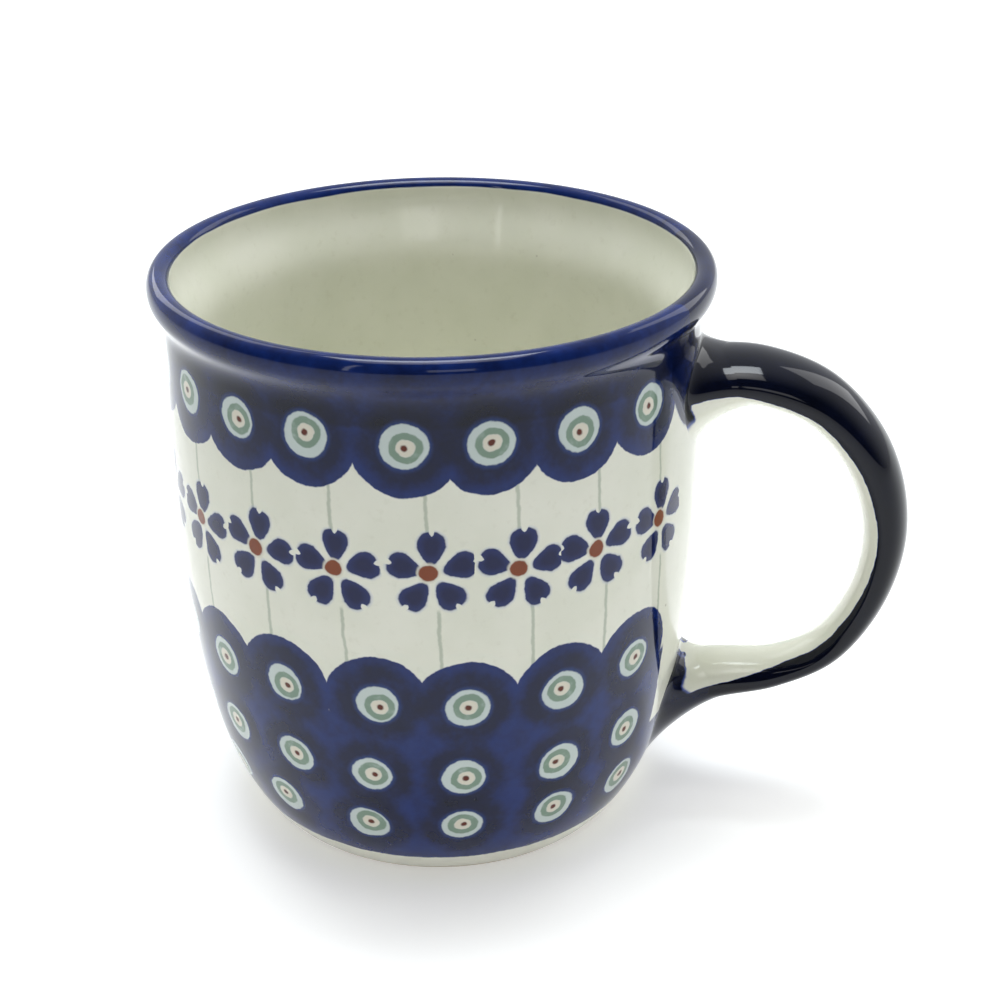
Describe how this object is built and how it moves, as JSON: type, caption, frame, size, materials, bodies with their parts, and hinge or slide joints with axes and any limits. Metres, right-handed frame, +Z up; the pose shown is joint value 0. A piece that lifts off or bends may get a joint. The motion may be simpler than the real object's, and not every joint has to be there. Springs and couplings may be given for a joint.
{
  "type": "stoneware mug",
  "caption": "Turned stoneware mug with a flared lip, rounded base, recessed foot ring and an ear handle luted on with slip.",
  "frame": {"origin": "on the plane that the foot ring stands on, under the middle of the mug's overall box; the cup's own axis stands at x = -16.3 mm, y = 0", "axes": "+Z up out of the cup's mouth, +X from the cup towards the handle, +Y square to the handle's plane"},
  "size_m": [0.1222, 0.0896, 0.095],
  "materials": {
    "cup_glaze": "glossy clear glaze over cream stoneware with cobalt, sage and brown underglaze stamping, bare clay on the foot ring",
    "handle_glaze": "glossy clear glaze, dark cobalt on the outside of the ear and cream on the inside",
    "joint_glaze": "glossy clear glaze over slip brushed with cobalt"
  },
  "bodies": {
    "root": {"cup_body": "cup_glaze", "handle": "handle_glaze", "upper_slip_joint": "joint_glaze", "lower_slip_joint": "joint_glaze"}
  },
  "joints": []
}
